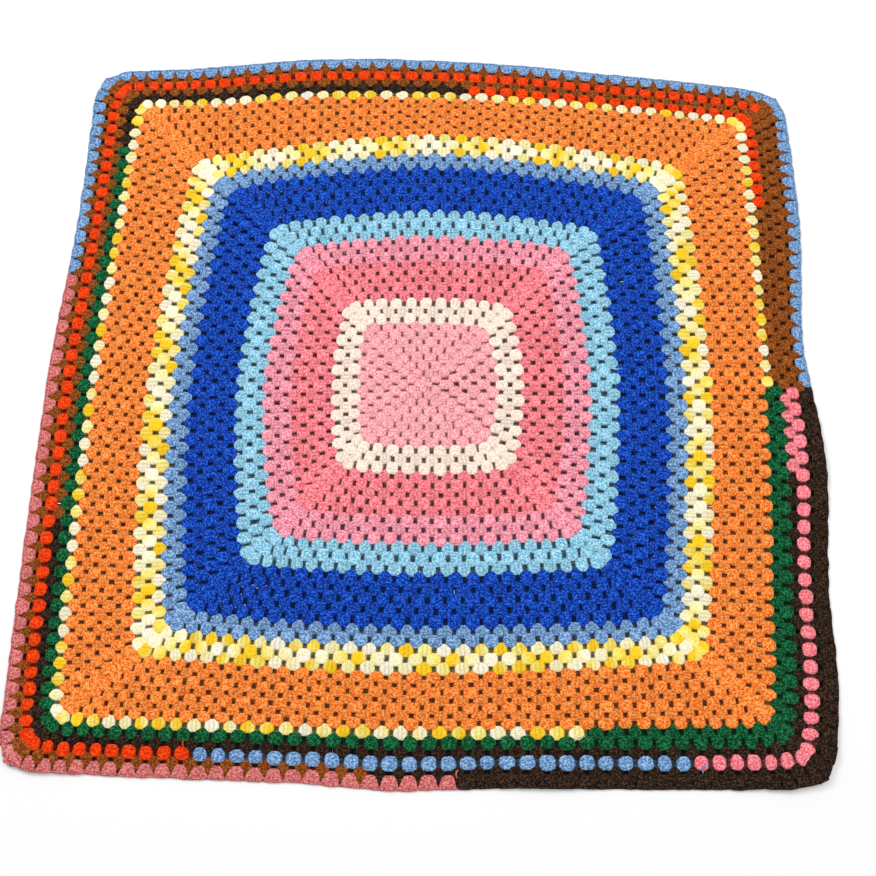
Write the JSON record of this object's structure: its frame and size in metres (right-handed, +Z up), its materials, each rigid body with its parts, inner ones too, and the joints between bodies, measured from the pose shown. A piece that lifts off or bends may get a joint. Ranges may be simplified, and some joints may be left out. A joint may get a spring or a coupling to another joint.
{
  "type": "granny square blanket",
  "caption": "Crocheted wool blanket worked outwards from its middle as one large square, in bands of pink, blue, yellow and orange with a narrow mixed border, lying flat.",
  "frame": {"origin": "on the surface that the blanket lies on, under the middle of its box", "axes": "+Z up out of the surface, +X to the right and +Y away from the near edge"},
  "size_m": [1.1435, 1.1634, 0.012],
  "materials": {
    "light_pink_wool": "matt, soft crocheted wool",
    "cream_wool": "matt, soft crocheted wool",
    "salmon_wool": "matt, soft crocheted wool",
    "dusky_pink_wool": "matt, soft crocheted wool",
    "sky_blue_wool": "matt, soft crocheted wool",
    "royal_blue_wool": "matt, soft crocheted wool",
    "cornflower_blue_wool": "matt, soft crocheted wool",
    "variegated_yellow_wool": "matt, soft crocheted wool that changes from white through pale yellow to gold along the yarn",
    "orange_wool": "matt, soft crocheted wool",
    "green_wool": "matt, soft crocheted wool",
    "dark_brown_wool": "matt, soft crocheted wool",
    "brown_wool": "matt, soft crocheted wool",
    "red_orange_wool": "matt, soft crocheted wool",
    "rose_pink_wool": "matt, soft crocheted wool"
  },
  "bodies": {
    "root": {"blanket": "orange_wool"}
  },
  "joints": []
}
